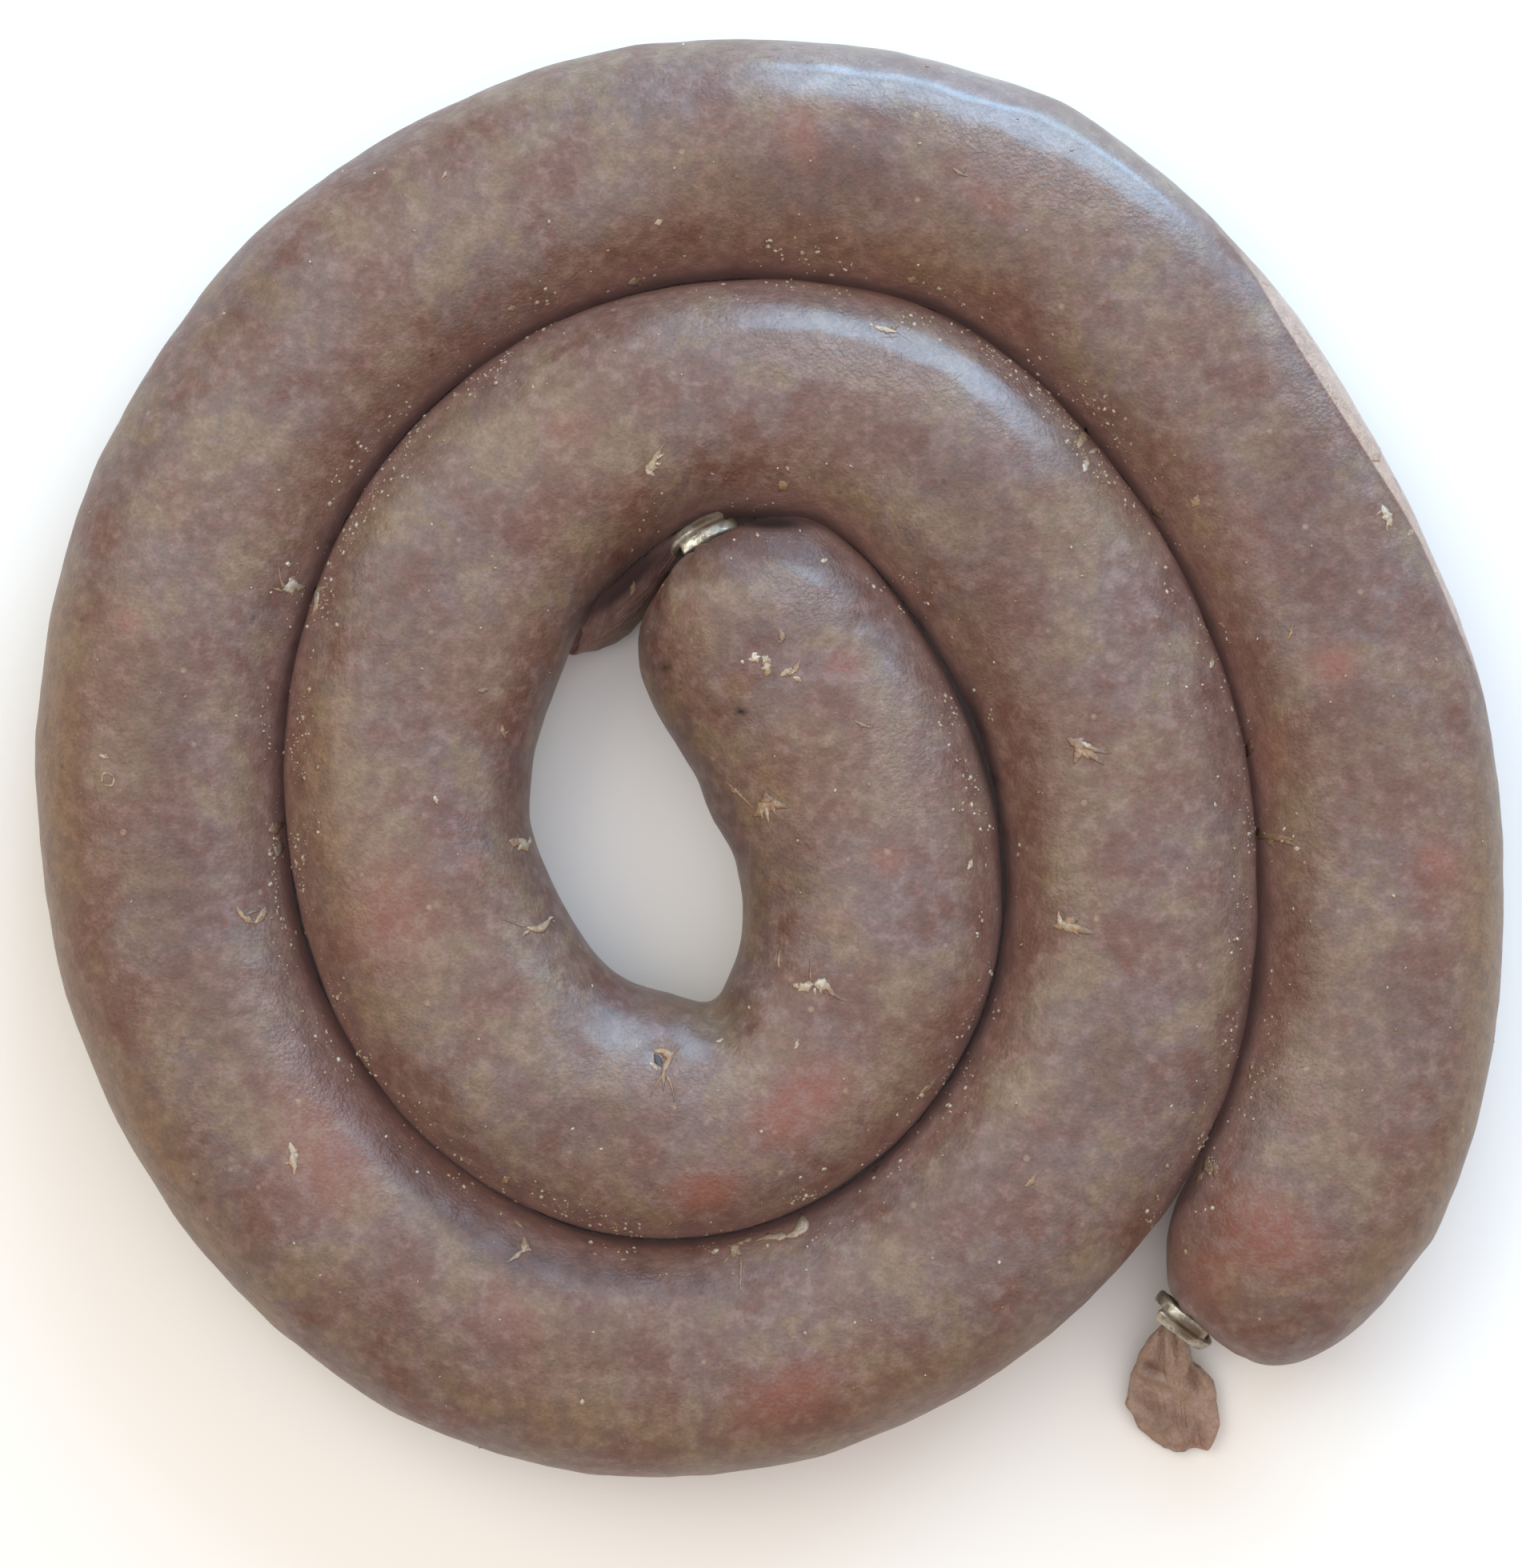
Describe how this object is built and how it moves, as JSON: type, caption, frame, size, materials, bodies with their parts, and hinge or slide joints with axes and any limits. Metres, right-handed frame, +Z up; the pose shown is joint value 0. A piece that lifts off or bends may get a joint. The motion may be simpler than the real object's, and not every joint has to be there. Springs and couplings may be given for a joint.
{
  "type": "boudin sausage",
  "caption": "Long cooked sausage in a natural casing, coiled flat in a spiral and closed at both ends with crimped wire clips.",
  "frame": {"origin": "centre of the coil's bounding box, on the surface it lies on", "axes": "+Z up; +X across the coil, towards the side where the outer turn comes down to its end; +Y away from that end"},
  "size_m": [0.216, 0.2118, 0.033],
  "materials": {
    "casing": "moist natural casing, semi-gloss, mottled mauve brown",
    "clip_wire": "crimped soft wire, dull bright"
  },
  "bodies": {
    "root": {"sausage": "casing", "clip_inner": "clip_wire", "clip_outer": "clip_wire"}
  },
  "joints": []
}
